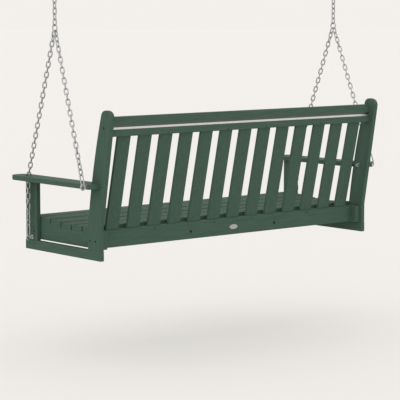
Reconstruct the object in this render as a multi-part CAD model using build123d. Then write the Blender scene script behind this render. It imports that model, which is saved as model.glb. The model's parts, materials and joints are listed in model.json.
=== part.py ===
from build123d import *
from math import atan2, cos, degrees, hypot, pi, radians, sin, sqrt, tan
import os

os.makedirs("parts", exist_ok=True)

# A hanging porch swing: a slatted bench on two Y-shaped chains.
# The bench is laid out in its own coordinates: X across (+X is the sitter's left), Y from front to rear,
# Z up, with zero at mid-width, at the rear end and the underside of the bottom rails.  write() moves every
# piece to the row's frame, whose origin is on the ceiling, midway between the two hangers.

# ---- driving dimensions, mm ----
FRAME_WIDTH = 1431.0        # across the outer faces of the side frames
FRAME_DEPTH = 500.0         # bottom rail, front end to rear end
BOARD = 19.0                # posts, uprights, armrests and seat slats
THICK_BOARD = 25.5          # seat rails, aprons and top rail
EDGE_RADIUS = 2.5           # eased edges of the boards
SLIP = 0.15                 # clearance each side of a tenon in its pocket

BOTTOM_RAIL_HEIGHT = 38.5

# seat
SEAT_RAIL_BOTTOM = 42.0     # underside of the seat rails and aprons
SEAT_SLATS = 6
SEAT_SLAT_GAP = 6.5
SEAT_FRONT_INSET = 10.0     # front edge of the seat behind the front of the bottom rails
SEAT_REAR_Y = -75.0         # rear edge of the last seat slat
SEAT_LOW_Z = 119.5          # top of the seat at its lowest
SEAT_LOW_Y = -190.0
SEAT_FRONT_RISE = 16.0      # the front of the dished seat stands this much higher
SEAT_REAR_RISE = 8.0        # and its rear edge this much
SEAT_DISH_FRONT_INSET = 50.0  # the dish ends this far behind the front of the bottom rails
SEAT_NOSE = 3.5             # the front slat overhangs the front apron
SEAT_SUPPORT_INSET = 444.5  # middle of each seat support to the side rail on its side
SIDE_RAIL_TAIL_Y = -12.0    # rear ends of the side seat rails
SLAT_END_GAP = 0.4          # seat slat ends to the inner faces of posts and uprights

# back
APRON_REAR_Y = -46.5        # rear face of the rear apron
APRON_TOP_Z = 111.5
APRON_WALL = 4.0            # wood behind a back slat at the top of the apron
TOP_RAIL_BELOW_TOP = 101.0  # underside of the top rail below the tops of the uprights
TOP_RAIL_HEIGHT = 76.0
TOP_RAIL_WALL = 8.5         # wood behind a back slat at the underside of the top rail
BACK_SLATS = 13
BACK_SLAT_FIRST = 53.0      # middle of the outermost back slat to the seat rail
BACK_SLAT_WIDTH = 61.0
BACK_SLAT_THICK = 12.7
BACK_LEAN = 12.6            # degrees from vertical
TENON = 15.0                # a back slat enters each pocket this far
CHANNEL_HEIGHT = 14.2       # metal stiffener let into the top rail
CHANNEL_DEPTH = 8.0
CHANNEL_WALL = 1.8
CHANNEL_RISE = 35.0         # middle of the stiffener above the underside of the top rail
BADGE_WIDTH = 44.0
BADGE_HEIGHT = 19.5
BADGE_THICK = 1.6
BADGE_Z = 73.5

# uprights
UPRIGHT_WIDTH = 78.0
UPRIGHT_KINK_Z = 120.5
UPRIGHT_LEAN = 9.7          # degrees, rear edge
UPRIGHT_TOP_Z = 579.0
UPRIGHT_TOP_WIDTH = 60.0
UPRIGHT_BELLY = 10.0        # the front edge bulges forward of its chord
UPRIGHT_DOME_RADIUS = 27.0

# posts and armrests
POST_WIDTH = 77.0
POST_INSET = 2.5            # front of the posts behind the front of the bottom rails
ARM_TOP_Z = 298.0
ARM_WIDTH = 85.0
ARM_OVERHANG = 49.0         # armrests beyond the side frames
ARM_NOSE = 46.0             # armrests forward of the bottom rails
ARM_REAR_Y = 3.0
ARM_FRONT_RADIUS = 38.0
ARM_REAR_RADIUS = 14.0
ARM_UPRIGHT_GAP = 0.5       # armrest to the upright's front edge
CHAIN_HOLE_RADIUS = 14.0

# chain and fittings
LINK_PITCH = 21.4
LINK_WIRE = 4.8
LINK_GAP = 9.4              # inside width of a link
SLACK = 0.3                 # clearance where one ring or link bears on another
FRONT_LINKS = 38            # front eye bolt to chain ring
REAR_LINKS = 27             # rear eye bolt to chain ring
UPPER_LINKS = 5             # chain ring to top link
TWIST_LINKS = 5             # links over which a branch takes up or loses its twist
RING_RADIUS = 14.0
RING_WIRE = 5.0
RING_OUT = 33.1             # chain rings beyond the side frames
HOOK_LENGTH = 48.0          # crown to crown, on the wire's centre line
HOOK_WIDTH = 18.0
HOOK_WIRE = 5.0
GATE_PIVOT_Z = 11.0
GATE_TIP_Z = -10.0
GATE_WIRE = 4.6
GATE_PIN_RADIUS = 0.9
PIN_CLEARANCE = 0.05
EYE_RADIUS = 9.5
EYE_WIRE = 6.4
EYE_STANDOFF = 6.0          # outer face of the ring to the board
WASHER_RADIUS = 9.0
NUT_WASHER_RADIUS = 8.0
WASHER_THICK = 1.6
NUT_ACROSS = 13.0
NUT_THICK = 6.0
BOLT_PAST_NUT = 7.0
FRONT_EYE_INSET = 45.5      # front eye bolts behind the front of the posts
FRONT_EYE_Z = 51.0
REAR_EYE_Y = -20.0
TOP_LINK_LENGTH = 46.0
TOP_LINK_WIDTH = 18.0
TOP_LINK_WIRE = 6.0
BOW_WIRE = 8.0
BOW_SPAN = 36.0             # between the centre lines of the bow's legs
BOW_DROP = 24.0             # underside of the plate to the bow's centre line
BOW_BEND = 9.0
PLATE_LENGTH = 110.0
PLATE_WIDTH = 50.0
PLATE_THICK = 5.0
PLATE_HOLE_RADIUS = 3.2
PLATE_HOLE_SPACING_X = 86.0
PLATE_HOLE_SPACING_Y = 28.0

# screws
SCREW_RADIUS = 2.2
SCREW_HEAD_RADIUS = 4.2
SCREW_HEAD_HEIGHT = 2.6
SCREW_SUNK = 2.0
PIN_SCREW_RADIUS = 1.6
PIN_SCREW_HEAD_RADIUS = 2.8
BOLT_RADIUS = 3.2
BOLT_HEAD_RADIUS = 6.5
BOLT_HEAD_HEIGHT = 3.6

# ---- places that follow from the driving dimensions ----
OUT_X = FRAME_WIDTH / 2
IN_X = OUT_X - BOARD
RAIL_IN_X = IN_X - THICK_BOARD
ARM_OUT_X = OUT_X + ARM_OVERHANG
ARM_FRONT_Y = -FRAME_DEPTH - ARM_NOSE
RING_X = OUT_X + RING_OUT
SEAT_SUPPORT_X = RAIL_IN_X - SEAT_SUPPORT_INSET
BACK_SLAT_PITCH = 2 * (RAIL_IN_X - BACK_SLAT_FIRST) / (BACK_SLATS - 1)
LEAN = tan(radians(BACK_LEAN))
UPRIGHT_SLOPE = tan(radians(UPRIGHT_LEAN))
POST_FRONT_Y = -FRAME_DEPTH + POST_INSET
POST_REAR_Y = POST_FRONT_Y + POST_WIDTH
POST_TOP_Z = ARM_TOP_Z - BOARD
APRON_FRONT_Y = APRON_REAR_Y - THICK_BOARD
SEAT_FRONT_Y = -FRAME_DEPTH + SEAT_FRONT_INSET
SEAT_DISH_FRONT_Y = -FRAME_DEPTH + SEAT_DISH_FRONT_INSET
SLAT_STEP = (SEAT_REAR_Y - SEAT_FRONT_Y + SEAT_SLAT_GAP) / SEAT_SLATS
SEAT_SLAT_WIDTH = SLAT_STEP - SEAT_SLAT_GAP
FRONT_APRON_Y = SEAT_FRONT_Y + SEAT_NOSE
SLAT_FOOT_Y = APRON_REAR_Y - APRON_WALL
TOP_RAIL_BOTTOM_Z = UPRIGHT_TOP_Z - TOP_RAIL_BELOW_TOP
CHANNEL_MID_Z = TOP_RAIL_BOTTOM_Z + CHANNEL_RISE
TOP_RAIL_REAR_Y = SLAT_FOOT_Y + (TOP_RAIL_BOTTOM_Z - APRON_TOP_Z) * LEAN + TOP_RAIL_WALL
TOP_RAIL_TOP_Z = TOP_RAIL_BOTTOM_Z + TOP_RAIL_HEIGHT
LINK_INNER = LINK_PITCH + SLACK
LINK_WIDTH = LINK_GAP + 2 * LINK_WIRE
REAR_EYE_Z = ARM_TOP_Z - BOARD / 2
FRONT_EYE_Y = POST_FRONT_Y + FRONT_EYE_INSET
EYE_REACH = EYE_STANDOFF + EYE_RADIUS + EYE_WIRE / 2
FRONT_EYE_X = OUT_X + EYE_REACH
REAR_EYE_X = ARM_OUT_X + EYE_REACH - EYE_STANDOFF + WASHER_THICK


def seat_z(y):
    """Height of the dished seat at a depth y."""
    if y < SEAT_LOW_Y:
        share, rise = (y - SEAT_LOW_Y) / (SEAT_DISH_FRONT_Y - SEAT_LOW_Y), SEAT_FRONT_RISE
    else:
        share, rise = (y - SEAT_LOW_Y) / (SEAT_REAR_Y - SEAT_LOW_Y), SEAT_REAR_RISE
    return SEAT_LOW_Z + rise * (1 - cos(pi * min(share, 1.0))) / 2


def upright_rear_y(z):
    """Rear edge of the uprights at a height z."""
    return max(z - UPRIGHT_KINK_Z, 0.0) * UPRIGHT_SLOPE


def slat_rear_y(z):
    """Rear face of the back slats at a height z."""
    return SLAT_FOOT_Y + (z - APRON_TOP_Z) * LEAN


# ---- small helpers ----
def box(x0, x1, y0, y1, z0, z1):
    return Pos((x0 + x1) / 2, (y0 + y1) / 2, (z0 + z1) / 2) * Box(abs(x1 - x0), abs(y1 - y0), abs(z1 - z0))


def board(x0, x1, y0, y1, z0, z1, along, radius=EDGE_RADIUS):
    """A straight board with its long edges eased."""
    blank = box(x0, x1, y0, y1, z0, z1)
    return fillet(blank.edges().filter_by(along), radius)


def mirrored(shape):
    return shape.mirror(Plane.YZ)


def toward(origin, direction, side=(1, 0, 0)):
    """Placement whose Z runs along direction and whose X lies in the plane of direction and side."""
    d = Vector(*direction).normalized()
    s = Vector(*side)
    s = (s - d * s.dot(d)).normalized()
    return Plane(origin=origin, x_dir=s, z_dir=d).location


def rod(start, direction, length, radius):
    return toward(start, direction, side_for(direction)) * extrude(Circle(radius), length)


def side_for(direction):
    return (0, 1, 0) if abs(Vector(*direction).normalized().X) > 0.7 else (1, 0, 0)


def screw(head_at, direction, length, radius=SCREW_RADIUS, head=SCREW_HEAD_RADIUS, tall=SCREW_HEAD_HEIGHT):
    """A countersunk screw with a cross recess; head_at is the middle of its head's outer face."""
    profile = [(0, 0), (head, 0), (head, 0.6), (radius, tall), (radius, length - radius * 1.5), (0, length)]
    body = revolve(Plane.XZ * make_face(Polyline(*profile, close=True)), Axis.Z)
    for turn in (0, 90):
        body -= Pos(0, 0, 0.7) * Rot(0, 0, turn) * Box(head * 1.1, head * 0.26, 1.4)
    return toward(head_at, direction, side_for(direction)) * body


def screw_room(face_at, direction, sunk, length, radius=SCREW_RADIUS, head=SCREW_HEAD_RADIUS,
               tall=SCREW_HEAD_HEIGHT):
    """The hole that screw() leaves in a board, with a counterbore from face_at down to the head."""
    profile = [(0, -1), (head, -1), (head, sunk + 0.6), (radius, sunk + tall),
               (radius, sunk + length - radius * 1.5), (0, sunk + length)]
    body = revolve(Plane.XZ * make_face(Polyline(*profile, close=True)), Axis.Z)
    return toward(face_at, direction, side_for(direction)) * body


def sunk_point(face_at, direction, sunk):
    return Vector(*face_at) + Vector(*direction).normalized() * sunk


pieces = {}


def keep(name, shapes):
    pieces[name] = list(shapes) if isinstance(shapes, (list, tuple)) else [shapes]


def keep_pair(name, left):
    keep(name + "_left", left)
    keep(name + "_right", [mirrored(s) for s in (left if isinstance(left, list) else [left])])


# ---- fasteners: each entry is (face point, direction, sunk, length) ----
def frame_screw_places():
    """Long screws of the left side frame."""
    inward, up = (-1, 0, 0), (0, 0, 1)
    post_y = POST_FRONT_Y + POST_WIDTH / 2
    low_z = SEAT_RAIL_BOTTOM + 32.5
    rail_y = TOP_RAIL_REAR_Y - THICK_BOARD / 2
    places = [((OUT_X, -0.83 * UPRIGHT_WIDTH, low_z), inward, 3.0, 38.0),
              ((OUT_X, -0.39 * UPRIGHT_WIDTH, low_z), inward, 3.0, 38.0),
              ((OUT_X, rail_y + 1.5, CHANNEL_MID_Z - 1), inward, 3.0, 60.0),
              ((OUT_X, post_y - 18, low_z), inward, 3.0, 38.0),
              ((OUT_X, post_y + 18, low_z), inward, 3.0, 38.0)]
    for y in (post_y - 28, post_y + 28, -0.8 * UPRIGHT_WIDTH, -0.27 * UPRIGHT_WIDTH):
        places.append(((OUT_X - BOARD / 2, y, 0), up, 6.0, 66.0))
    for y in (APRON_REAR_Y - THICK_BOARD / 2, FRONT_APRON_Y + THICK_BOARD / 2):
        for z in (SEAT_RAIL_BOTTOM + 14, SEAT_RAIL_BOTTOM + 50):
            places.append(((IN_X, y, z), inward, 3.0, 60.0))
    return places


def deck_screw_places():
    """Screws that go straight down: seat slats into their supports, armrests into the posts."""
    places = []
    side_x = IN_X - THICK_BOARD / 2
    for k in range(SEAT_SLATS):
        middle = SEAT_REAR_Y - SEAT_SLAT_WIDTH / 2 - k * SLAT_STEP
        for y in (middle - 0.28 * SEAT_SLAT_WIDTH, middle + 0.28 * SEAT_SLAT_WIDTH):
            for x in (-side_x, -SEAT_SUPPORT_X, SEAT_SUPPORT_X, side_x):
                places.append(((x, y, slat_top_z(y)), (0, 0, -1), SCREW_SUNK, 30.0))
    for x in (-(OUT_X - BOARD / 2), OUT_X - BOARD / 2):
        for y in (POST_FRONT_Y + 13, POST_REAR_Y - 13):
            places.append(((x, y, ARM_TOP_Z), (0, 0, -1), SCREW_SUNK, 50.0))
    return places


def slat_screw_places():
    """Small screws through the back of the top rail and rear apron into some of the back slats."""
    places = []
    for k in (-4, -1, 1, 4):
        x = k * BACK_SLAT_PITCH
        places.append(((x, TOP_RAIL_REAR_Y, TOP_RAIL_BOTTOM_Z + 6.0), (0, -1, 0), 0.6, 17.0))
        places.append(((x, APRON_REAR_Y, APRON_TOP_Z - 10.0), (0, -1, 0), 0.6, 14.0))
    return places


def support_bolt_places():
    """Countersunk bolts through the aprons into the ends of the two seat supports."""
    places = []
    for x in (-SEAT_SUPPORT_X, SEAT_SUPPORT_X):
        places.append(((x, APRON_REAR_Y, BADGE_Z - 1.5), (0, -1, 0), 1.2, 70.0))
        places.append(((x, FRONT_APRON_Y, BADGE_Z - 1.5), (0, 1, 0), 1.2, 70.0))
    return places


def cut_screws(shape, places, **size):
    """Cut the room of every screw that reaches the shape."""
    around = shape.bounding_box()
    for face_at, direction, sunk, length in places:
        room = screw_room(face_at, direction, sunk, length, **size)
        reach = room.bounding_box()
        apart = (reach.min.X > around.max.X or reach.max.X < around.min.X
                 or reach.min.Y > around.max.Y or reach.max.Y < around.min.Y
                 or reach.min.Z > around.max.Z or reach.max.Z < around.min.Z)
        if not apart:
            shape -= room
    return shape


def mirror_places(places):
    return [((-x, y, z), (-dx, dy, dz), sunk, length) for (x, y, z), (dx, dy, dz), sunk, length in places]


PIN_SIZE = {"radius": PIN_SCREW_RADIUS, "head": PIN_SCREW_HEAD_RADIUS, "tall": 1.8}
BOLT_SIZE = {"radius": BOLT_RADIUS, "head": BOLT_HEAD_RADIUS, "tall": BOLT_HEAD_HEIGHT}


# ---- seat ----
def seat_joints():
    """Points on the seat's top surface, midway in the gaps between slats, from rear to front."""
    ys = [SEAT_REAR_Y + SEAT_SLAT_GAP / 2 - k * SLAT_STEP for k in range(SEAT_SLATS + 1)]
    return [(y, seat_z(y)) for y in ys]


def slat_line(k):
    """Rear point and front point of the top of seat slat k, counted from the rear."""
    return seat_joints()[k], seat_joints()[k + 1]


def slat_top_z(y):
    joints = seat_joints()
    for (y0, z0), (y1, z1) in zip(joints, joints[1:]):
        if y1 <= y <= y0:
            return z0 + (z1 - z0) * (y - y0) / (y1 - y0)
    return joints[0][1]


def slat_under_line(k):
    """The slat's underside as (slope, height at y = 0)."""
    (y0, z0), (y1, z1) = slat_line(k)
    slope = (z1 - z0) / (y1 - y0)
    return slope, z0 - slope * y0 - BOARD * hypot(1, slope)


def under_z(k, y):
    slope, height = slat_under_line(k)
    return height + slope * y


def support_outline(y_rear, y_front):
    """Side view of a board that carries the seat slats: straight below, following the slats above."""
    points = [(y_rear, under_z(0, y_rear))]
    if y_rear > APRON_FRONT_Y:
        points = [(y_rear, APRON_TOP_Z), (APRON_FRONT_Y, APRON_TOP_Z),
                  (APRON_FRONT_Y, under_z(0, APRON_FRONT_Y))]
    for k in range(SEAT_SLATS - 1):
        slope_a, height_a = slat_under_line(k)
        slope_b, height_b = slat_under_line(k + 1)
        middle = seat_joints()[k + 1][0]
        same = abs(slope_a - slope_b) < 1e-9
        y = middle if same else (height_b - height_a) / (slope_a - slope_b)
        points.append((y, under_z(k, y)))
    points.append((y_front, under_z(SEAT_SLATS - 1, y_front)))
    points.append((y_front, SEAT_RAIL_BOTTOM))
    points.append((y_rear, SEAT_RAIL_BOTTOM))
    clean = [points[0]]
    for p in points[1:]:
        if hypot(p[0] - clean[-1][0], p[1] - clean[-1][1]) > 0.01:
            clean.append(p)
    return clean


def side_extrusion(points, x0, x1):
    """Extrude a (y, z) outline from x0 to x1."""
    face = make_face(Polyline(*[(x0, y, z) for y, z in points], close=True))
    return extrude(face, x1 - x0, dir=(1, 0, 0))


def seat_slat(k):
    (y0, z0), (y1, z1) = slat_line(k)
    run = hypot(y1 - y0, z1 - z0)
    length = 2 * (IN_X - SLAT_END_GAP)
    # the length along the slope that leaves the gap between neighbouring slats
    width = SEAT_SLAT_WIDTH * run / SLAT_STEP
    blank = Box(length, width, BOARD)
    long_edges = blank.edges().filter_by(Axis.X)
    blank = fillet(long_edges.sort_by(Axis.Z)[-2:], 4.0 if k < SEAT_SLATS - 1 else 6.0)
    turn = degrees(atan2(z0 - z1, y0 - y1))
    middle = Vector(0, (y0 + y1) / 2, (z0 + z1) / 2)
    down = Vector(0, sin(radians(turn)), -cos(radians(turn))) * (BOARD / 2)
    placed = Location(tuple(middle + down), (turn, 0, 0)) * blank
    return cut_screws(placed, deck_screw_places())


def seat_support(x_middle):
    outline = support_outline(APRON_FRONT_Y, FRONT_APRON_Y + THICK_BOARD)
    shape = side_extrusion(outline, x_middle - THICK_BOARD / 2, x_middle + THICK_BOARD / 2)
    shape = cut_screws(shape, deck_screw_places())
    return cut_screws(shape, support_bolt_places(), **BOLT_SIZE)


def side_rail():
    outline = support_outline(SIDE_RAIL_TAIL_Y, FRONT_APRON_Y)
    shape = side_extrusion(outline, RAIL_IN_X, IN_X)
    lower = shape.edges().filter_by(Axis.Y).sort_by(Axis.Z)[:2]
    shape = fillet(lower, EDGE_RADIUS)
    shape = cut_screws(shape, frame_screw_places())
    shape = cut_screws(shape, deck_screw_places())
    return shape - rod((IN_X + 1, FRONT_EYE_Y, FRONT_EYE_Z), (-1, 0, 0), THICK_BOARD + 2, EYE_WIRE / 2)


def front_apron():
    outline = [(FRONT_APRON_Y, SEAT_RAIL_BOTTOM),
               (FRONT_APRON_Y + THICK_BOARD, SEAT_RAIL_BOTTOM),
               (FRONT_APRON_Y + THICK_BOARD, under_z(SEAT_SLATS - 1, FRONT_APRON_Y + THICK_BOARD)),
               (FRONT_APRON_Y, under_z(SEAT_SLATS - 1, FRONT_APRON_Y))]
    shape = side_extrusion(outline, -RAIL_IN_X, RAIL_IN_X)
    shape = fillet(shape.edges().filter_by(Axis.X).sort_by(Axis.Z)[:2], EDGE_RADIUS)
    shape = cut_screws(shape, frame_screw_places() + mirror_places(frame_screw_places()))
    shape = cut_screws(shape, deck_screw_places())
    return cut_screws(shape, support_bolt_places(), **BOLT_SIZE)


# ---- back ----
def slat_blank(x, extra=0.0):
    """A back slat between its pockets; extra grows it on every side for the pocket itself."""
    low = APRON_TOP_Z - TENON - extra
    high = TOP_RAIL_BOTTOM_Z + TENON + extra
    thick = BACK_SLAT_THICK / cos(radians(BACK_LEAN))
    points = [(slat_rear_y(low) + extra, low), (slat_rear_y(high) + extra, high),
              (slat_rear_y(high) - thick - extra, high), (slat_rear_y(low) - thick - extra, low)]
    half = BACK_SLAT_WIDTH / 2 + extra
    return side_extrusion(points, x - half, x + half)


def back_slat(x):
    shape = slat_blank(x)
    upright_edges = [e for e in shape.edges() if e.bounding_box().size.Z > 100]
    shape = fillet(upright_edges, EDGE_RADIUS * 0.7)
    return cut_screws(shape, slat_screw_places(), **PIN_SIZE)


def slat_places():
    return [(BACK_SLATS - 1 - 2 * k) / 2 * BACK_SLAT_PITCH for k in range(BACK_SLATS)]


def rear_apron():
    shape = board(-RAIL_IN_X, RAIL_IN_X, APRON_FRONT_Y, APRON_REAR_Y, SEAT_RAIL_BOTTOM, APRON_TOP_Z, Axis.X)
    for x in slat_places():
        shape -= slat_blank(x, SLIP)
    shape = cut_screws(shape, slat_screw_places(), **PIN_SIZE)
    shape = cut_screws(shape, support_bolt_places(), **BOLT_SIZE)
    return cut_screws(shape, frame_screw_places() + mirror_places(frame_screw_places()))


def top_rail():
    shape = board(-IN_X, IN_X, TOP_RAIL_REAR_Y - THICK_BOARD, TOP_RAIL_REAR_Y,
                  TOP_RAIL_BOTTOM_Z, TOP_RAIL_TOP_Z, Axis.X, EDGE_RADIUS * 1.4)
    half = CHANNEL_HEIGHT / 2
    shape -= box(-IN_X - 1, IN_X + 1, TOP_RAIL_REAR_Y - CHANNEL_DEPTH, TOP_RAIL_REAR_Y + 1,
                 CHANNEL_MID_Z - half, CHANNEL_MID_Z + half)
    for x in slat_places():
        shape -= slat_blank(x, SLIP)
    shape = cut_screws(shape, slat_screw_places(), **PIN_SIZE)
    return cut_screws(shape, frame_screw_places() + mirror_places(frame_screw_places()))


def stiffener_channel():
    half = CHANNEL_HEIGHT / 2
    shape = box(-IN_X, IN_X, TOP_RAIL_REAR_Y - CHANNEL_DEPTH, TOP_RAIL_REAR_Y,
                CHANNEL_MID_Z - half, CHANNEL_MID_Z + half)
    hollow = half - CHANNEL_WALL
    return shape - box(-IN_X - 1, IN_X + 1, TOP_RAIL_REAR_Y - CHANNEL_DEPTH + CHANNEL_WALL,
                       TOP_RAIL_REAR_Y + 1, CHANNEL_MID_Z - hollow, CHANNEL_MID_Z + hollow)


def oval_badge():
    plane = Plane(origin=(0, APRON_REAR_Y, BADGE_Z), x_dir=(1, 0, 0), z_dir=(0, 1, 0))
    plate = extrude(plane * Ellipse(BADGE_WIDTH / 2, BADGE_HEIGHT / 2), BADGE_THICK)
    rim = extrude(plane.offset(BADGE_THICK - 0.5) * Ellipse(BADGE_WIDTH / 2 - 2, BADGE_HEIGHT / 2 - 2), 1)
    return plate - rim


# ---- side frames ----
def bottom_rail():
    shape = board(IN_X, OUT_X, -FRAME_DEPTH, 0, 0, BOTTOM_RAIL_HEIGHT, Axis.Y)
    return cut_screws(shape, frame_screw_places())


def front_post():
    shape = board(IN_X, OUT_X, POST_FRONT_Y, POST_REAR_Y, BOTTOM_RAIL_HEIGHT, POST_TOP_Z, Axis.Z)
    shape = cut_screws(shape, frame_screw_places())
    shape = cut_screws(shape, deck_screw_places())
    return shape - rod((OUT_X + 1, FRONT_EYE_Y, FRONT_EYE_Z), (-1, 0, 0), BOARD + 2, EYE_WIRE / 2)


def upright_outline():
    """Side view of an upright as a face: straight foot, kink, bellied front edge and domed top."""
    lean = radians(UPRIGHT_LEAN)
    # the end is square to the rear edge, and its highest point is on the front corner's radius
    rise = UPRIGHT_TOP_WIDTH * sin(lean) - UPRIGHT_DOME_RADIUS * (sin(lean) + cos(lean) - 1)
    rear_z = UPRIGHT_TOP_Z - rise
    rear_top = (upright_rear_y(rear_z), rear_z)
    front_top = (rear_top[0] - UPRIGHT_TOP_WIDTH * cos(lean), rear_top[1] + UPRIGHT_TOP_WIDTH * sin(lean))
    front_low = (-UPRIGHT_WIDTH, UPRIGHT_KINK_Z)
    mid = ((front_low[0] + front_top[0]) / 2, (front_low[1] + front_top[1]) / 2)
    chord = hypot(front_top[0] - front_low[0], front_top[1] - front_low[1])
    out = (-(front_top[1] - front_low[1]) / chord, (front_top[0] - front_low[0]) / chord)
    belly = (mid[0] + out[0] * UPRIGHT_BELLY, mid[1] + out[1] * UPRIGHT_BELLY)
    at = [(IN_X, y, z) for y, z in
          ((0, BOTTOM_RAIL_HEIGHT), (0, UPRIGHT_KINK_Z), rear_top, front_top, belly, front_low,
           (-UPRIGHT_WIDTH, BOTTOM_RAIL_HEIGHT))]
    edges = [Line(at[0], at[1]), Line(at[1], at[2]), Line(at[2], at[3]),
             ThreePointArc(at[3], at[4], at[5]), Line(at[5], at[6]), Line(at[6], at[0])]
    return make_face(edges)


def back_upright():
    shape = extrude(upright_outline(), BOARD, dir=(1, 0, 0))
    across = shape.edges().filter_by(Axis.X)
    shape = fillet(across.sort_by(Axis.Z)[-2:], UPRIGHT_DOME_RADIUS)
    kinks = [e for e in shape.edges().filter_by(Axis.X) if abs(e.center().Z - UPRIGHT_KINK_Z) < 1]
    shape = fillet(kinks, 90.0)
    rim = [e for e in shape.edges() if e.bounding_box().size.X < 0.01 and e.center().Z > BOTTOM_RAIL_HEIGHT + 1]
    shape = fillet(rim, EDGE_RADIUS * 0.8)
    shape = cut_screws(shape, frame_screw_places())
    return shape - rod((OUT_X + 1, REAR_EYE_Y, REAR_EYE_Z), (-1, 0, 0), BOARD + 2, EYE_WIRE / 2)


def upright_front_y(z):
    """Foremost point of the upright's front edge at or above a height z, found on the solid."""
    section = back_upright_solid & box(OUT_X - BOARD, OUT_X, -FRAME_DEPTH, FRAME_DEPTH, z, z + 1)
    return section.bounding_box().min.Y


def armrest():
    notch_y = upright_front_y(POST_TOP_Z) - ARM_UPRIGHT_GAP
    in_x = ARM_OUT_X - ARM_WIDTH
    points = [(in_x, ARM_FRONT_Y), (ARM_OUT_X, ARM_FRONT_Y), (ARM_OUT_X, ARM_REAR_Y),
              (OUT_X, ARM_REAR_Y), (OUT_X, notch_y), (in_x, notch_y)]
    face = make_face(Polyline(*[(x, y, POST_TOP_Z) for x, y in points], close=True))
    shape = extrude(face, BOARD, dir=(0, 0, 1))
    corners = shape.edges().filter_by(Axis.Z)

    def corner(x, y):
        return [e for e in corners if abs(e.center().X - x) < 0.1 and abs(e.center().Y - y) < 0.1]

    shape = fillet(corner(in_x, ARM_FRONT_Y) + corner(ARM_OUT_X, ARM_FRONT_Y), ARM_FRONT_RADIUS)
    corners = shape.edges().filter_by(Axis.Z)
    shape = fillet(corner(ARM_OUT_X, ARM_REAR_Y) + corner(in_x, notch_y), ARM_REAR_RADIUS)
    rims = [e for e in shape.edges() if e.bounding_box().size.Z < 0.01 and abs(e.center().X - OUT_X) > 0.5
            and not (e.center().Y > notch_y - 0.5 and e.center().X < OUT_X)]
    shape = fillet(rims, EDGE_RADIUS)
    hole = chain_bend()
    shape -= Pos(hole.X, hole.Y, POST_TOP_Z) * Cylinder(CHAIN_HOLE_RADIUS, 3 * BOARD)
    shape = cut_screws(shape, deck_screw_places())
    return shape - rod((ARM_OUT_X + 1, REAR_EYE_Y, REAR_EYE_Z), (-1, 0, 0), ARM_WIDTH, EYE_WIRE / 2)


# ---- chain geometry ----
def chain_bend():
    """Where the front chain turns, inside its hole in the armrest."""
    return Vector(FRONT_EYE_X, FRONT_EYE_Y, REAR_EYE_Z)


def front_eye_top():
    """Centre of the front eye's wire at its highest point, where the hook bears."""
    return Vector(FRONT_EYE_X, FRONT_EYE_Y, FRONT_EYE_Z + EYE_RADIUS)


def rear_eye_top():
    return Vector(REAR_EYE_X, REAR_EYE_Y, REAR_EYE_Z + EYE_RADIUS)


def hook_foot():
    """Eye wire to the hook's lowest wire centre, against the pull."""
    return HOOK_WIRE / 2 + EYE_WIRE / 2 + SLACK


def hook_to_link():
    """Eye wire centre to the centre of the first link above the hook."""
    return HOOK_LENGTH - hook_foot() + LINK_INNER / 2 - HOOK_WIRE / 2 - SLACK


def ring_to_link():
    """Chain ring centre to the centre of the last link below it."""
    return RING_RADIUS + LINK_INNER / 2 - RING_WIRE / 2 - SLACK


def ring_centre():
    """The chain ring hangs where both chains of one side, at their own lengths, meet."""
    bend, rear = chain_bend(), rear_eye_top()
    ends = hook_to_link() + ring_to_link()
    front_run = ends + (FRONT_LINKS - 1) * LINK_PITCH - (bend.Z - front_eye_top().Z)
    rear_run = ends + (REAR_LINKS - 1) * LINK_PITCH
    front_flat = sqrt(front_run ** 2 - (RING_X - bend.X) ** 2)
    rear_flat = sqrt(rear_run ** 2 - (RING_X - rear.X) ** 2)
    dy, dz = rear.Y - bend.Y, rear.Z - bend.Z
    base = hypot(dy, dz)
    along = (front_flat ** 2 - rear_flat ** 2 + base ** 2) / (2 * base)
    up = sqrt(front_flat ** 2 - along ** 2)
    return Vector(RING_X, bend.Y + (dy * along - dz * up) / base, bend.Z + (dz * along + dy * up) / base)


RING = ring_centre()
TOP_LINK_Z = (RING.Z + RING_RADIUS + (UPPER_LINKS - 1) * LINK_PITCH + LINK_INNER
              - RING_WIRE / 2 - TOP_LINK_WIRE / 2 - 2 * SLACK)
BOW_Z = TOP_LINK_Z + TOP_LINK_LENGTH - TOP_LINK_WIRE / 2 - BOW_WIRE / 2 - SLACK
CEILING_Z = BOW_Z + BOW_DROP + PLATE_THICK


def oval(length, width, wire):
    """A closed oval of round wire in the XZ plane; length and width are on its centre line."""
    r = width / 2
    half = length / 2 - r
    path = [Line((r, 0, -half), (r, 0, half)),
            ThreePointArc((r, 0, half), (0, 0, half + r), (-r, 0, half)),
            Line((-r, 0, half), (-r, 0, -half)),
            ThreePointArc((-r, 0, -half), (0, 0, -half - r), (r, 0, -half))]
    start = Plane(origin=(r, 0, -half), x_dir=(1, 0, 0), z_dir=(0, 0, 1))
    return sweep(start * Circle(wire / 2), path=Wire(path))


LINK = oval(LINK_INNER + LINK_WIRE, LINK_WIDTH - LINK_WIRE, LINK_WIRE)


def turned(side, direction, degrees_on):
    """side turned about direction."""
    d = Vector(*direction).normalized()
    s = Vector(*side)
    s = (s - d * s.dot(d)).normalized()
    a = radians(degrees_on)
    return s * cos(a) + d.cross(s) * sin(a)


def link_at(centre, direction, side):
    return toward(centre, direction, tuple(side)) * LINK


def path_point(path, s):
    """Point at a distance s along a list of points, carried on past both ends."""
    for a, b in zip(path, path[1:]):
        run = (b - a).length
        if s <= run or b is path[-1]:
            return a + (b - a) * (s / run)
        s -= run


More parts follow.
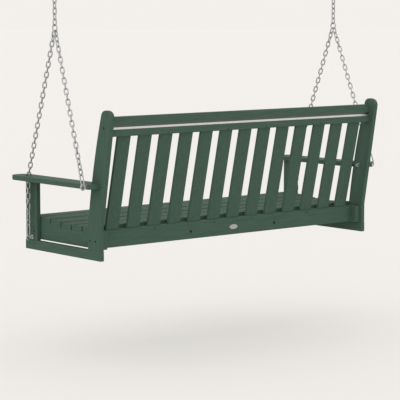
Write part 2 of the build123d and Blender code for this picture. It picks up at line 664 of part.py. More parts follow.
def twist_at(k, count, last_twist):
    """Twist of link k: the chain turns 45 degrees over its first links and to last_twist over its last."""
    start = min(k / TWIST_LINKS, 1.0)
    end = max((k - (count - 1 - TWIST_LINKS)) / TWIST_LINKS, 0.0)
    return 45.0 * start + (last_twist - 45.0) * end


def chain_links(path, count, first_at, last_twist=None):
    """Links along a path, each a quarter turn on from the last; the first lies across the path's plane."""
    links = []
    for k in range(count):
        s = first_at + k * LINK_PITCH
        low, high = path_point(path, s - LINK_PITCH / 2), path_point(path, s + LINK_PITCH / 2)
        direction = high - low
        twist = 90.0 * k + (0.0 if last_twist is None else twist_at(k, count, last_twist))
        links.append(link_at((low + high) / 2, tuple(direction), turned((1, 0, 0), tuple(direction), twist)))
    return links


def front_chain():
    path = [front_eye_top(), chain_bend(), RING]
    return chain_links(path, FRONT_LINKS, hook_to_link(), 90.0 * ((FRONT_LINKS + 1) % 2))


def rear_chain():
    path = [rear_eye_top(), RING]
    return chain_links(path, REAR_LINKS, hook_to_link(), 90.0 * ((REAR_LINKS + 1) % 2))


def upper_chain():
    path = [RING, Vector(RING.X, RING.Y, TOP_LINK_Z)]
    return chain_links(path, UPPER_LINKS, ring_to_link())


def chain_ring():
    return Pos(RING.X, RING.Y, RING.Z) * Rot(0, 90, 0) * Torus(RING_RADIUS, RING_WIRE / 2)


# ---- snap hooks ----
def hook_body():
    """The hook in the XZ plane, long axis Z, gate side +X, with the gate's tongue and pin."""
    r = HOOK_WIDTH / 2
    half = HOOK_LENGTH / 2 - r
    reach = GATE_WIRE / 2 + SLACK
    path = [Line((r, 0, GATE_PIVOT_Z + reach), (r, 0, half)),
            ThreePointArc((r, 0, half), (0, 0, half + r), (-r, 0, half)),
            Line((-r, 0, half), (-r, 0, -half)),
            ThreePointArc((-r, 0, -half), (0, 0, -half - r), (r, 0, -half)),
            Line((r, 0, -half), (r, 0, GATE_TIP_Z - SLACK))]
    start = Plane(origin=(r, 0, GATE_PIVOT_Z + reach), x_dir=(1, 0, 0), z_dir=(0, 0, 1))
    shape = sweep(start * Circle(HOOK_WIRE / 2), path=Wire(path))
    tongue = box(r - 1.3, r + 1.3, -0.8, 0.8, GATE_PIVOT_Z - 1.3, GATE_PIVOT_Z + reach + 1)
    pin = Pos(r, 0, GATE_PIVOT_Z) * Rot(90, 0, 0) * Cylinder(GATE_PIN_RADIUS, GATE_WIRE + 0.8)
    return shape + tongue + pin


def hook_gate():
    r = HOOK_WIDTH / 2
    length = GATE_PIVOT_Z - GATE_TIP_Z
    shape = Pos(r, 0, GATE_TIP_Z) * extrude(Circle(GATE_WIRE / 2), length)
    shape += Pos(r, 0, GATE_PIVOT_Z) * Sphere(GATE_WIRE / 2)
    shape -= box(r - 4, r + 4, -0.8 - SLIP, 0.8 + SLIP, GATE_PIVOT_Z - 3.2, GATE_PIVOT_Z + 4)
    return shape - Pos(r, 0, GATE_PIVOT_Z) * Rot(90, 0, 0) * Cylinder(GATE_PIN_RADIUS + PIN_CLEARANCE, 12)


def hook_place(eye_top, direction):
    """Placement of a hook on its eye, pulled along direction; its gate faces the rear."""
    d = Vector(*direction).normalized()
    centre = eye_top + d * (HOOK_LENGTH / 2 - hook_foot())
    return toward(tuple(centre), tuple(d), (0, 1, 0))


def front_hook_place():
    return hook_place(front_eye_top(), (0, 0, 1))


def rear_hook_place():
    return hook_place(rear_eye_top(), tuple(RING - rear_eye_top()))


# ---- eye bolts ----
def eye_bolt(eye_x, y, z, nut_face_x):
    """A ring in the XZ plane on a shank that runs inward along X and ends past its nut."""
    ring = Pos(eye_x, y, z) * Rot(90, 0, 0) * Torus(EYE_RADIUS, EYE_WIRE / 2)
    start = eye_x - EYE_RADIUS
    end = nut_face_x - WASHER_THICK - NUT_THICK - BOLT_PAST_NUT
    return ring + rod((start, y, z), (-1, 0, 0), start - end, EYE_WIRE / 2)


def washer(x_low, y, z, radius):
    blank = rod((x_low, y, z), (1, 0, 0), WASHER_THICK, radius)
    return blank - rod((x_low - 1, y, z), (1, 0, 0), WASHER_THICK + 2, EYE_WIRE / 2)


def nut(x_low, y, z):
    plane = Plane(origin=(x_low, y, z), x_dir=(0, 1, 0), z_dir=(1, 0, 0))
    blank = extrude(plane * RegularPolygon(NUT_ACROSS / 2, 6, major_radius=False), NUT_THICK)
    trim = rod((x_low, y, z), (1, 0, 0), NUT_THICK, NUT_ACROSS / 2 * 1.12)
    return (blank & trim) - rod((x_low - 1, y, z), (1, 0, 0), NUT_THICK + 2, EYE_WIRE / 2)


def left_washers():
    return [washer(OUT_X, FRONT_EYE_Y, FRONT_EYE_Z, WASHER_RADIUS),
            washer(RAIL_IN_X - WASHER_THICK, FRONT_EYE_Y, FRONT_EYE_Z, NUT_WASHER_RADIUS),
            washer(ARM_OUT_X, REAR_EYE_Y, REAR_EYE_Z, WASHER_RADIUS),
            washer(IN_X - WASHER_THICK, REAR_EYE_Y, REAR_EYE_Z, NUT_WASHER_RADIUS)]


def left_nuts():
    return [nut(RAIL_IN_X - WASHER_THICK - NUT_THICK, FRONT_EYE_Y, FRONT_EYE_Z),
            nut(IN_X - WASHER_THICK - NUT_THICK, REAR_EYE_Y, REAR_EYE_Z)]


# ---- ceiling hangers ----
def top_link():
    shape = oval(TOP_LINK_LENGTH, TOP_LINK_WIDTH, TOP_LINK_WIRE)
    sleeve = extrude(Plane.XY * RegularPolygon(TOP_LINK_WIRE * 0.9, 6), 14)
    shape += Pos(TOP_LINK_WIDTH / 2, 0, -7) * sleeve
    centre = (RING.X, RING.Y, TOP_LINK_Z + TOP_LINK_LENGTH / 2)
    return toward(centre, (0, 0, 1), (0, 1, 0)) * shape


def ceiling_hanger():
    """A plate with four holes and a U-shaped bow whose bar runs along X."""
    legs = BOW_SPAN / 2
    top = BOW_DROP + 1
    turn = BOW_BEND * (1 - sqrt(0.5))
    path = [Line((-legs, 0, top), (-legs, 0, BOW_BEND)),
            ThreePointArc((-legs, 0, BOW_BEND), (-legs + turn, 0, turn), (-legs + BOW_BEND, 0, 0)),
            Line((-legs + BOW_BEND, 0, 0), (legs - BOW_BEND, 0, 0)),
            ThreePointArc((legs - BOW_BEND, 0, 0), (legs - turn, 0, turn), (legs, 0, BOW_BEND)),
            Line((legs, 0, BOW_BEND), (legs, 0, top))]
    start = Plane(origin=(-legs, 0, top), x_dir=(1, 0, 0), z_dir=(0, 0, -1))
    bow = sweep(start * Circle(BOW_WIRE / 2), path=Wire(path))
    plate = box(-PLATE_LENGTH / 2, PLATE_LENGTH / 2, -PLATE_WIDTH / 2, PLATE_WIDTH / 2,
                BOW_DROP, BOW_DROP + PLATE_THICK)
    plate = fillet(plate.edges().filter_by(Axis.Z), 10.0)
    for x in (-PLATE_HOLE_SPACING_X / 2, PLATE_HOLE_SPACING_X / 2):
        for y in (-PLATE_HOLE_SPACING_Y / 2, PLATE_HOLE_SPACING_Y / 2):
            plate -= Pos(x, y, BOW_DROP + PLATE_THICK / 2) * Cylinder(PLATE_HOLE_RADIUS, 3 * PLATE_THICK)
    return Pos(RING.X, RING.Y, BOW_Z) * (plate + bow)


# ---- assembly ----
back_upright_solid = back_upright()
keep_pair("bottom_rail", bottom_rail())
keep_pair("front_post", front_post())
keep_pair("back_upright", back_upright_solid)
keep_pair("armrest", armrest())
keep_pair("seat_side_rail", side_rail())
keep("seat_support_left", seat_support(SEAT_SUPPORT_X))
keep("seat_support_right", seat_support(-SEAT_SUPPORT_X))
keep("front_apron", front_apron())
keep("rear_apron", rear_apron())
keep("top_rail", top_rail())
keep("top_rail_stiffener", stiffener_channel())
keep("oval_badge", oval_badge())
for k in range(SEAT_SLATS):
    keep(f"seat_slat_{k + 1}", seat_slat(k))
for k, x in enumerate(slat_places()):
    keep(f"back_slat_{k + 1:02d}", back_slat(x))

front_eye = eye_bolt(FRONT_EYE_X, FRONT_EYE_Y, FRONT_EYE_Z, RAIL_IN_X)
rear_eye = eye_bolt(REAR_EYE_X, REAR_EYE_Y, REAR_EYE_Z, IN_X)
keep("eye_bolts", [front_eye, rear_eye, mirrored(front_eye), mirrored(rear_eye)])
keep("eye_bolt_nuts", left_nuts() + [mirrored(s) for s in left_nuts()])
keep("eye_bolt_washers", left_washers() + [mirrored(s) for s in left_washers()])

side_screws = frame_screw_places() + mirror_places(frame_screw_places())
keep("frame_screws", [screw(sunk_point(at, d, sunk), d, length) for at, d, sunk, length in side_screws])
keep("deck_screws", [screw(sunk_point(at, d, sunk), d, length) for at, d, sunk, length in deck_screw_places()])
keep("slat_screws", [screw(sunk_point(at, d, sunk), d, length, **PIN_SIZE)
                     for at, d, sunk, length in slat_screw_places()])
keep("support_bolts", [screw(sunk_point(at, d, sunk), d, length, **BOLT_SIZE)
                       for at, d, sunk, length in support_bolt_places()])

keep_pair("front_chain", front_chain())
keep_pair("rear_chain", rear_chain())
keep_pair("upper_chain", upper_chain())
keep("chain_rings", [chain_ring(), mirrored(chain_ring())])
front_hook = front_hook_place() * hook_body()
rear_hook = rear_hook_place() * hook_body()
keep("snap_hooks", [front_hook, rear_hook, mirrored(front_hook), mirrored(rear_hook)])
keep_pair("front_hook_gate", front_hook_place() * hook_gate())
keep_pair("rear_hook_gate", rear_hook_place() * hook_gate())
keep("top_links", [top_link(), mirrored(top_link())])
keep_pair("ceiling_hanger", ceiling_hanger())

# ---- write every piece in the row's frame ----
to_row = Location((0, -RING.Y, -CEILING_Z))


def write(name, shapes):
    solids = [s for shape in shapes for s in shape.solids()]
    moved = [to_row * s for s in solids]
    export_step(moved[0] if len(moved) == 1 else Compound(children=moved), f"parts/{name}.step")


for name, shapes in pieces.items():
    write(name, shapes)

# ---- figures for the record, in mm in the row's frame ----
gate_front = front_hook_place() * Pos(HOOK_WIDTH / 2, 0, GATE_PIVOT_Z)
gate_rear = rear_hook_place() * Pos(HOOK_WIDTH / 2, 0, GATE_PIVOT_Z)
for label, p in (("ring", RING), ("top link crown", Vector(RING.X, RING.Y, TOP_LINK_Z)),
                 ("bow", Vector(RING.X, RING.Y, BOW_Z)), ("ring top", RING + Vector(0, 0, RING_RADIUS)),
                 ("front gate pin", gate_front.position), ("rear gate pin", gate_rear.position),
                 ("zero of the bench", Vector(0, 0, 0))):
    print(label, [round(v, 3) for v in tuple(to_row.position + p)])
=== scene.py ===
"""A hanging porch swing: finishes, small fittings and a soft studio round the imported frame."""

import json
import math

import bpy
import numpy as np
from mathutils import Matrix, Vector


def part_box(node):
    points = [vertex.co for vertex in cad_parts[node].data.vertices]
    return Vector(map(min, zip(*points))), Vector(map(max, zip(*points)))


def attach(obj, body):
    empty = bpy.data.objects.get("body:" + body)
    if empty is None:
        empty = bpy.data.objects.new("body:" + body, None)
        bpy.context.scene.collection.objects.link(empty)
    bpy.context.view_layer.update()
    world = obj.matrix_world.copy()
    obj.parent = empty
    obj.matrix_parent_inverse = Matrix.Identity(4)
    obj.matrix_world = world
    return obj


bl_info = {
    "name": "Porch Swing",
    "version": (1, 0, 0),
    "blender": (4, 5, 0),
    "location": "3D View > Sidebar > Swing",
    "description": "Finishes a slatted porch swing, adds its small fittings and lights it on a pale stage",
    "category": "Object",
}

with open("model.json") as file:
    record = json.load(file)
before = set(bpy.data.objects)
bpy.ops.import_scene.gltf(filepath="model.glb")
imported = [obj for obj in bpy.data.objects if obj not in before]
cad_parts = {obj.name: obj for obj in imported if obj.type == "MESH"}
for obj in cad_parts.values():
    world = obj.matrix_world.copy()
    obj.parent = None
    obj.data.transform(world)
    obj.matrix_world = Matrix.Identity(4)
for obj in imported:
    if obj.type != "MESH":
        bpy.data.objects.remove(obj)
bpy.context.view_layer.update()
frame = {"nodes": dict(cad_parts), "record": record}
NODES = frame["nodes"]
SLOTS = {part["node"]: part["material_slot"] for part in frame["record"]["subparts"]}
FINISHES = {slot["slot"]: slot for slot in frame["record"]["materials"]}
# each chain: its number of links and the body that it moves with
CHAINS = {"front_chain_left": (38, "bench"), "front_chain_right": (38, "bench"),
          "rear_chain_left": (27, "bench"), "rear_chain_right": (27, "bench"),
          "upper_chain_left": (5, "upper_chain_left"), "upper_chain_right": (5, "upper_chain_right")}
AXES = "XYZ"

PAINTED_SHADE_BLEND = 0.0008         # half the height over which the painted shade on the channel's upper part fades in
PAINTED_SHADE_SHARE = 0.16           # painted shade: the channel's upper part's colour against its lit lower part's
GRAIN_STRETCH = 22          # a streak in the lumber is this many times longer than it is wide
PORE_PITCH = 2.6            # pores to each streak, across the grain
CLOUD_ACROSS, CLOUD_ALONG = 9.0, 2.5    # worn patches to a metre of lumber
ROUGHNESS_BELOW, ROUGHNESS_ABOVE = 0.05, 0.06   # how far the worn patches change the lumber's roughness
SCREW_PAINTED_SHADE = 0.25          # coated heads against the record's colour; the record's dark coating is real, this factor is painted shade for their recesses
BADGE_SHARE = 0.75
BADGE_RECESS = 0.0005       # depth of the badge's face below its rim
BAR_DEPTH = 0.0006
BAR_SINK = 0.0002           # how far a bar's back lies inside the badge
BAR_EDGE = 0.00015
BAR_SPACING = 0.24          # from bar to bar, against the badge's height
BAR_REACH = 0.72            # a bar's length against the badge's width at its height
KEY_FROM = (3.0, 1.0, 2.0)  # the direction each lamp shines from
TOP_FROM = (0.0, 0.5, 4.0)
# a Mix node has sockets for every kind of value; these are the ones for colours
MIX_COLOUR_A, MIX_COLOUR_B, MIX_COLOUR_RESULT = 6, 7, 2


def slot_colour(slot):
    """The record's colour of a slot, without alpha."""
    return tuple(FINISHES[slot]["base_color"][:3])


# ---- what a user may change ----
class SwingFinishes(bpy.types.PropertyGroup):
    """Colours and surface of the boards and the metal."""

    board_colour: bpy.props.FloatVectorProperty(
        name="Board colour", description="Base colour of the plastic lumber",
        subtype="COLOR", size=3, min=0, max=1, default=(0.058, 0.1, 0.077))
    board_roughness: bpy.props.FloatProperty(
        name="Board roughness", description="How matt the lumber is",
        subtype="FACTOR", min=0, max=1, default=0.55)
    grain_contrast: bpy.props.FloatProperty(
        name="Grain contrast", description="How much lighter the light streaks are than the dark ones",
        subtype="FACTOR", min=0, max=1, default=0.14)
    grain_depth: bpy.props.FloatProperty(
        name="Grain depth", description="Height of the fine grain in the lumber",
        unit="LENGTH", min=0, max=0.002, default=0.00018)
    grain_pitch: bpy.props.FloatProperty(
        name="Grain pitch", description="Usual distance across the grain from streak to streak",
        unit="LENGTH", min=0.0005, max=0.05, default=0.004)
    steel_colour: bpy.props.FloatVectorProperty(
        name="Steel colour", description="Base colour of the galvanised chain and fittings",
        subtype="COLOR", size=3, min=0, max=1, default=(0.42, 0.43, 0.44))
    steel_roughness: bpy.props.FloatProperty(
        name="Steel roughness", description="How dull the galvanising is",
        subtype="FACTOR", min=0, max=1, default=0.3)
    screw_roughness: bpy.props.FloatProperty(
        name="Screw roughness", description="How dull the coated screws and bolts are",
        subtype="FACTOR", min=0, max=1, default=0.5)
    channel_roughness: bpy.props.FloatProperty(
        name="Channel roughness", description="How dull the aluminium channel in the top rail is",
        subtype="FACTOR", min=0, max=1, default=0.38)
    wire: bpy.props.FloatProperty(
        name="Chain wire", description="Thickness of the chain's wire",
        unit="LENGTH", min=0.001, max=0.02, default=0.0048)
    weld_length: bpy.props.FloatProperty(
        name="Weld length", description="Length of the weld bead on each link, along its wire",
        unit="LENGTH", min=0.0005, max=0.02, default=0.0042)
    weld_height: bpy.props.FloatProperty(
        name="Weld height", description="How far the weld bead stands above the wire",
        unit="LENGTH", min=0.0001, max=0.005, default=0.00045)
    badge_bars: bpy.props.IntProperty(
        name="Badge bars", description="Plain raised bars on the badge",
        min=1, max=4, default=3)
    badge_bar_height: bpy.props.FloatProperty(
        name="Badge bar height", description="Height of each bar on the badge, across its length",
        unit="LENGTH", min=0.0005, max=0.01, default=0.0018)


class SwingStage(bpy.types.PropertyGroup):
    """Floor, lights and camera."""

    floor_colour: bpy.props.FloatVectorProperty(
        name="Floor colour", description="Colour of the floor",
        subtype="COLOR", size=3, min=0, max=1, default=(0.35, 0.343, 0.342))
    floor_glow: bpy.props.FloatVectorProperty(
        name="Floor glow", description="Light that the floor gives off, so that its shadow is faint",
        subtype="COLOR", size=3, min=0, max=1, default=(0.445, 0.434, 0.416))
    air_colour: bpy.props.FloatVectorProperty(
        name="Air colour", description="Colour of the soft light from all round",
        subtype="COLOR", size=3, min=0, max=1, default=(0.896, 0.871, 0.831))
    floor_drop: bpy.props.FloatProperty(
        name="Floor drop", description="Floor below the undersides of the bottom rails",
        unit="LENGTH", min=0.1, max=2, default=0.42)
    floor_radius: bpy.props.FloatProperty(
        name="Floor radius", description="Radius of the round floor",
        unit="LENGTH", min=2, max=500, default=120)
    air_light: bpy.props.FloatProperty(
        name="Air light", description="Strength of the light from all round",
        min=0, max=5, default=1.0)
    key_light: bpy.props.FloatProperty(
        name="Key light", description="Strength of the soft light from the side",
        min=0, max=20, default=0.7)
    top_light: bpy.props.FloatProperty(
        name="Top light", description="Strength of the soft light from overhead",
        min=0, max=20, default=0.7)
    softness: bpy.props.FloatProperty(
        name="Softness", description="How wide the two lights look from the swing",
        subtype="ANGLE", unit="ROTATION", min=0, max=math.pi, default=math.radians(110))
    aim: bpy.props.FloatVectorProperty(
        name="Aim", description="Point that the camera looks at",
        subtype="XYZ", unit="LENGTH", size=3, default=(0.11737, 0.1183, -0.88455))
    azimuth: bpy.props.FloatProperty(
        name="Azimuth", description="Side the camera looks from: 0 looks along +Y",
        subtype="ANGLE", unit="ROTATION", default=math.radians(140.007))
    elevation: bpy.props.FloatProperty(
        name="Elevation", description="Camera above the horizon of its aim",
        subtype="ANGLE", unit="ROTATION", default=math.radians(6.3025))
    distance: bpy.props.FloatProperty(
        name="Distance", description="Camera to its aim",
        unit="LENGTH", min=0.5, max=50, default=7.0)
    lens: bpy.props.FloatProperty(
        name="Lens", description="Focal length in millimetres on a 36 mm sensor",
        min=10, max=500, default=154.365)


# ---- materials ----
class Finish:
    """A procedural material under construction: its node tree and its Principled shader."""

    def __init__(self, name):
        self.material = bpy.data.materials.new(name)
        self.material.use_nodes = True
        self.tree = self.material.node_tree
        self.shader = self.tree.nodes["Principled BSDF"]

    def node(self, kind, **settings):
        made = self.tree.nodes.new(kind)
        for key, value in settings.items():
            if key in made.inputs:
                made.inputs[key].default_value = value
            else:
                setattr(made, key, value)
        return made

    def join(self, start, out, end, into):
        self.tree.links.new(start.outputs[out], end.inputs[into])

    def stretched(self, scale):
        """Object coordinates times scale, so that a pattern with a scale of 1 repeats every 1/scale."""
        place = self.node("ShaderNodeTexCoord")
        mapping = self.node("ShaderNodeMapping", Scale=scale)
        self.join(place, "Object", mapping, "Vector")
        return mapping

    def height(self):
        """The Object coordinates taken apart."""
        place = self.node("ShaderNodeTexCoord")
        parts = self.node("ShaderNodeSeparateXYZ")
        self.join(place, "Object", parts, "Vector")
        return parts

    def noise(self, scale, detail, roughness=0.5):
        pattern = self.node("ShaderNodeTexNoise", Scale=1.0, Detail=detail, Roughness=roughness)
        self.join(self.stretched(scale), "Vector", pattern, "Vector")
        return pattern

    def colour_between(self, pattern, dark, light, low=0.3, high=0.7):
        """Base colour from dark to light along a pattern's value."""
        ramp = self.node("ShaderNodeValToRGB")
        ramp.color_ramp.elements[0].position = low
        ramp.color_ramp.elements[0].color = (*dark, 1)
        ramp.color_ramp.elements[1].position = high
        ramp.color_ramp.elements[1].color = (*light, 1)
        self.join(pattern, "Fac", ramp, "Fac")
        self.join(ramp, "Color", self.shader, "Base Color")

    def roughness_between(self, pattern, low, high):
        spread = self.node("ShaderNodeMapRange")
        spread.inputs["To Min"].default_value = low
        spread.inputs["To Max"].default_value = high
        self.join(pattern, "Fac", spread, "Value")
        self.join(spread, "Result", self.shader, "Roughness")

    def bumps(self, pattern, height, strength=1.0, below=None):
        """Adds a bump of that height, on top of an earlier bump if one is given."""
        bump = self.node("ShaderNodeBump", Strength=strength, Distance=height)
        self.join(pattern, "Fac", bump, "Height")
        if below:
            self.join(below, "Normal", bump, "Normal")
        self.join(bump, "Normal", self.shader, "Normal")
        return bump

    def set(self, **values):
        for key, value in values.items():
            self.shader.inputs[key.replace("_", " ")].default_value = value


def shade(colour, factor):
    return tuple(min(c * factor, 1) for c in colour)


def lumber_finish(axis, look):
    """Plastic lumber whose fine streaks run along an axis."""
    finish = Finish(f"Green plastic lumber along {AXES[axis]}")
    across = 1 / look.grain_pitch
    streaks = [across] * 3
    streaks[axis] = across / GRAIN_STRETCH
    clouds = [CLOUD_ACROSS] * 3
    clouds[axis] = CLOUD_ALONG
    colour = tuple(look.board_colour)
    grain = finish.noise(streaks, 4.0, 0.6)
    finish.colour_between(grain, shade(colour, 1 - look.grain_contrast), shade(colour, 1 + look.grain_contrast))
    finish.roughness_between(finish.noise(clouds, 3.0),
                             look.board_roughness - ROUGHNESS_BELOW, look.board_roughness + ROUGHNESS_ABOVE)
    pores = [across * PORE_PITCH] * 3
    pores[axis] = across / 2
    low = finish.bumps(grain, look.grain_depth, 0.5)
    finish.bumps(finish.noise(pores, 2.0), look.grain_depth * 0.4, 0.35, low)
    finish.set(Specular_IOR_Level=0.03)
    return finish.material


def metal_finish(name, colour, roughness, mottle, grain_height=0.00004):
    """Metal with a cloudy, faintly uneven surface."""
    finish = Finish(name)
    clouds = finish.noise((180.0,) * 3, 4.0, 0.6)
    finish.colour_between(clouds, shade(colour, 1 - mottle), shade(colour, 1 + mottle))
    finish.roughness_between(finish.noise((420.0,) * 3, 2.0), roughness * 0.8, roughness * 1.25)
    finish.bumps(clouds, grain_height, 0.4)
    finish.set(Metallic=1.0)
    return finish.material


def coated_finish(name, colour, roughness):
    """Dark coating on screw and bolt heads, a little worn."""
    finish = Finish(name)
    clouds = finish.noise((260.0,) * 3, 3.0, 0.6)
    finish.colour_between(clouds, shade(colour, 0.8), shade(colour, 1.25))
    finish.roughness_between(clouds, roughness * 0.85, roughness * 1.15)
    finish.set(Specular_IOR_Level=0.3)
    return finish.material


def brushed_finish(name, colour, roughness, painted_shade_above=None):
    """Drawn metal with fine lines along X, darkened with painted shade above a height if one is given."""
    finish = Finish(name)
    lines = finish.noise((6.0, 1400.0, 1400.0), 3.0, 0.55)
    if painted_shade_above is None:
        finish.colour_between(lines, shade(colour, 0.93), shade(colour, 1.05))
    else:
        # painted shade: the colour darkens above that height, standing for the shadow under the top rail's lip
        height = finish.height()
        painted_shade_fade = finish.node("ShaderNodeMapRange")
        painted_shade_fade.inputs["From Min"].default_value = painted_shade_above - PAINTED_SHADE_BLEND
        painted_shade_fade.inputs["From Max"].default_value = painted_shade_above + PAINTED_SHADE_BLEND
        finish.join(height, "Z", painted_shade_fade, "Value")
        mix = finish.node("ShaderNodeMix", data_type="RGBA")
        mix.inputs[MIX_COLOUR_A].default_value = (*colour, 1)
        mix.inputs[MIX_COLOUR_B].default_value = (*shade(colour, PAINTED_SHADE_SHARE), 1)
        finish.join(painted_shade_fade, "Result", mix, "Factor")
        finish.join(mix, MIX_COLOUR_RESULT, finish.shader, "Base Color")
    finish.roughness_between(lines, roughness * 0.85, roughness * 1.2)
    finish.bumps(lines, 0.00003, 0.3)
    finish.set(Metallic=1.0)
    return finish.material


def give(obj, material):
    """obj wears one material and nothing else."""
    obj.data.materials.clear()
    obj.data.materials.append(material)


def nodes_of(slot):
    return [NODES[name] for name, worn in SLOTS.items() if worn == slot]


def long_axis(name):
    """Axis along which a node is longest."""
    low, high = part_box(name)
    sizes = [h - l for l, h in zip(low, high)]
    return sizes.index(max(sizes))


# ---- modelling helpers ----
def start_clean():
    """Object mode with nothing selected."""
    if bpy.context.object and bpy.context.object.mode != "OBJECT":
        bpy.ops.object.mode_set(mode="OBJECT")
    bpy.ops.object.select_all(action="DESELECT")


def link_places(node, count):
    """(centre, long direction, direction across, half width) of each link of a chain, from its own mesh."""
    points = np.empty(len(NODES[node].data.vertices) * 3)
    NODES[node].data.vertices.foreach_get("co", points)
    places = []
    for link in points.reshape(count, -1, 3):
        centre = link.mean(axis=0)
        spread = np.linalg.eigh(np.cov((link - centre).T))[1]
        along, across = spread[:, 2], spread[:, 1]
        places.append((centre, along, across, np.ptp((link - centre) @ across) / 2))
    return places


def wear_like(obj, node, body):
    """obj moves with a body and wears the finish of a CAD node."""
    give(obj, NODES[node].data.materials[0])
    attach(obj, body)


# ---- operators ----
class SWING_OT_board_finish(bpy.types.Operator):
    """Gives every board plastic lumber with its grain along the board"""

    bl_idname = "swing.board_finish"
    bl_label = "Board Finish"

    def execute(self, context):
        look = context.scene.swing_finishes
        kinds = [lumber_finish(axis, look) for axis in range(3)]
        boards = nodes_of("green_lumber")
        if not boards:
            raise RuntimeError("the frame has no boards")
        for board in boards:
            give(board, kinds[long_axis(board.name)])
        return {"FINISHED"}


class SWING_OT_metal_finish(bpy.types.Operator):
    """Gives the chains, hooks, bolts, channel and badge their metal"""

    bl_idname = "swing.metal_finish"
    bl_label = "Metal Finish"

    def execute(self, context):
        look = context.scene.swing_finishes
        low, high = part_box("top_rail_stiffener")
        channel_middle = (low[2] + high[2]) / 2
        made = {
            "galvanised_steel": metal_finish(
                "Galvanised steel", tuple(look.steel_colour), look.steel_roughness, 0.1),
            # the record's dark coating, darkened further with painted shade that stands for the shade in the
            # heads' recesses
            "coated_screws": coated_finish(
                "Coated screws", shade(slot_colour("coated_screws"), SCREW_PAINTED_SHADE), look.screw_roughness),
            # the channel's upper half gets painted shade, standing for the shadow that the top rail's lip casts
            # into it
            "aluminium_channel": brushed_finish(
                "Drawn aluminium", slot_colour("aluminium_channel"), look.channel_roughness,
                painted_shade_above=channel_middle),
            "badge_plate": brushed_finish(
                "Badge plate", shade(slot_colour("badge_plate"), BADGE_SHARE), look.channel_roughness),
        }
        for slot, material in made.items():
            for obj in nodes_of(slot):
                give(obj, material)
        return {"FINISHED"}


class SWING_OT_weld_beads(bpy.types.Operator):
    """Puts a weld bead on one side of every chain link"""

    bl_idname = "swing.weld_beads"
    bl_label = "Weld Beads"

    def execute(self, context):
        look = context.scene.swing_finishes
        start_clean()
        bpy.ops.mesh.primitive_cylinder_add(vertices=10, radius=look.wire / 2 + look.weld_height,
                                            depth=look.weld_length)
        bead = bpy.context.object
        bpy.ops.object.mode_set(mode="EDIT")
        bpy.ops.mesh.select_all(action="SELECT")
        bpy.ops.mesh.bevel(offset=look.weld_height, segments=1)
        bpy.ops.object.mode_set(mode="OBJECT")
        bpy.ops.object.shade_smooth()
        for chain, (count, body) in CHAINS.items():
            copies = []
            for centre, along, across, half in link_places(chain, count):
                z, x = Vector(along), Vector(across)
                turn = Matrix((x, z.cross(x), z)).transposed().to_4x4()
                copy = bpy.data.objects.new(f"weld_beads_{chain}", bead.data.copy())
                copy.data.transform(Matrix.Translation(Vector(centre) + x * (half - look.wire / 2)) @ turn)
                context.collection.objects.link(copy)
                copies.append(copy)
            start_clean()
            for copy in copies:
                copy.select_set(True)
            bpy.context.view_layer.objects.active = copies[0]
            bpy.ops.object.join()
            wear_like(copies[0], chain, body)
        bpy.data.objects.remove(bead)
        return {"FINISHED"}


class SWING_OT_badge_bars(bpy.types.Operator):
    """Raises plain bars in the face of the badge"""

    bl_idname = "swing.badge_bars"
    bl_label = "Badge Bars"

    def execute(self, context):
        look = context.scene.swing_finishes
        low, high = (Vector(corner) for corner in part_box("oval_badge"))
        middle, size = (low + high) / 2, high - low
        depth = high.y - BADGE_RECESS + BAR_DEPTH / 2 - BAR_SINK
        bars = []
        for k in range(look.badge_bars):
            up = (k - (look.badge_bars - 1) / 2) * size.z * BAR_SPACING
            share = math.sqrt(1 - (2 * up / size.z) ** 2) * BAR_REACH
            start_clean()
            bpy.ops.mesh.primitive_cube_add(size=1, location=(middle.x, depth, middle.z + up),
                                            scale=(size.x * share, BAR_DEPTH, look.badge_bar_height))
            bar = bpy.context.object
            bpy.ops.object.transform_apply(location=True, rotation=True, scale=True)
            bpy.ops.object.mode_set(mode="EDIT")
            bpy.ops.mesh.select_all(action="SELECT")
            bpy.ops.mesh.bevel(offset=BAR_EDGE, segments=1)
            bpy.ops.object.mode_set(mode="OBJECT")
            bars.append(bar)
        start_clean()
        for bar in bars:
            bar.select_set(True)
        bpy.context.view_layer.objects.active = bars[0]
        bpy.ops.object.join()
        bars[0].name = "badge_bars"
        wear_like(bars[0], "oval_badge", "bench")
        return {"FINISHED"}


def soft_light(name, toward_it, strength, softness):
    """A broad, distant light that comes from the direction toward_it."""
    start_clean()
    bpy.ops.object.light_add(type="SUN", location=toward_it)
    lamp = bpy.context.object
    lamp.name = name
    lamp.rotation_euler = Vector(toward_it).to_track_quat("Z", "Y").to_euler()
    lamp.data.energy = strength
    lamp.data.angle = softness


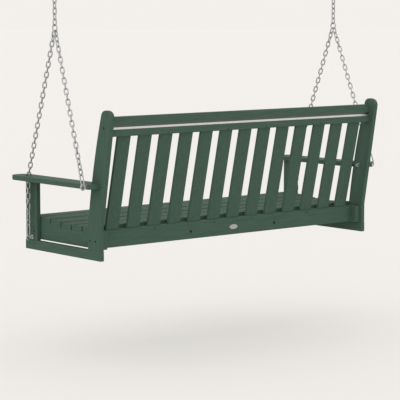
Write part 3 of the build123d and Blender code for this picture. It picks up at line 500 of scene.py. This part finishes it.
class SWING_OT_stage(bpy.types.Operator):
    """Lays the pale floor, lights the swing softly and sets the camera"""

    bl_idname = "swing.stage"
    bl_label = "Stage"

    def execute(self, context):
        stage = context.scene.swing_stage
        start_clean()
        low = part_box("bottom_rail_left")[0][2]
        bpy.ops.mesh.primitive_circle_add(vertices=96, radius=stage.floor_radius, fill_type="NGON",
                                          location=(0, 0, low - stage.floor_drop))
        floor = bpy.context.object
        floor.name = "floor"
        bpy.ops.object.transform_apply(location=True, rotation=True, scale=True)
        pale = Finish("Pale floor")
        pale.set(Base_Color=(*stage.floor_colour, 1), Roughness=0.9, Specular_IOR_Level=0.1,
                 Emission_Color=(*stage.floor_glow, 1), Emission_Strength=1.0)
        give(floor, pale.material)

        world = bpy.data.worlds.new("Soft studio")
        world.use_nodes = True
        air = world.node_tree.nodes["Background"]
        air.inputs["Color"].default_value = (*stage.air_colour, 1)
        air.inputs["Strength"].default_value = stage.air_light
        context.scene.world = world
        context.scene.view_settings.view_transform = "Standard"

        soft_light("key", KEY_FROM, stage.key_light, stage.softness)
        soft_light("top", TOP_FROM, stage.top_light, stage.softness)

        a, e = stage.azimuth, stage.elevation
        back = Vector((math.sin(a) * math.cos(e), -math.cos(a) * math.cos(e), math.sin(e)))
        bpy.ops.object.camera_add(location=Vector(stage.aim) + back * stage.distance)
        camera = bpy.context.object
        camera.name = "camera"
        camera.rotation_euler = (-back).to_track_quat("-Z", "Y").to_euler()
        camera.data.lens = stage.lens
        camera.data.clip_end = 2 * stage.floor_radius
        context.scene.camera = camera
        return {"FINISHED"}


class SWING_PT_panel(bpy.types.Panel):
    """Lists the steps and the settings that they use"""

    bl_label = "Porch Swing"
    bl_idname = "SWING_PT_panel"
    bl_space_type = "VIEW_3D"
    bl_region_type = "UI"
    bl_category = "Swing"

    def draw(self, context):
        layout = self.layout
        for operator in OPERATORS:
            layout.operator(operator.bl_idname)
        for group in (context.scene.swing_finishes, context.scene.swing_stage):
            box = layout.box()
            for name in group.bl_rna.properties.keys():
                if name not in ("rna_type", "name"):
                    box.prop(group, name)


OPERATORS = (SWING_OT_board_finish, SWING_OT_metal_finish, SWING_OT_weld_beads, SWING_OT_badge_bars,
             SWING_OT_stage)
CLASSES = (SwingFinishes, SwingStage, *OPERATORS, SWING_PT_panel)


def register():
    for cls in CLASSES:
        bpy.utils.register_class(cls)
    bpy.types.Scene.swing_finishes = bpy.props.PointerProperty(type=SwingFinishes)
    bpy.types.Scene.swing_stage = bpy.props.PointerProperty(type=SwingStage)


def unregister():
    del bpy.types.Scene.swing_stage
    del bpy.types.Scene.swing_finishes
    for cls in reversed(CLASSES):
        bpy.utils.unregister_class(cls)


def main():
    register()
    bpy.ops.swing.board_finish()
    bpy.ops.swing.metal_finish()
    bpy.ops.swing.weld_beads()
    bpy.ops.swing.badge_bars()
    bpy.ops.swing.stage()


if __name__ == "__main__":
    main()
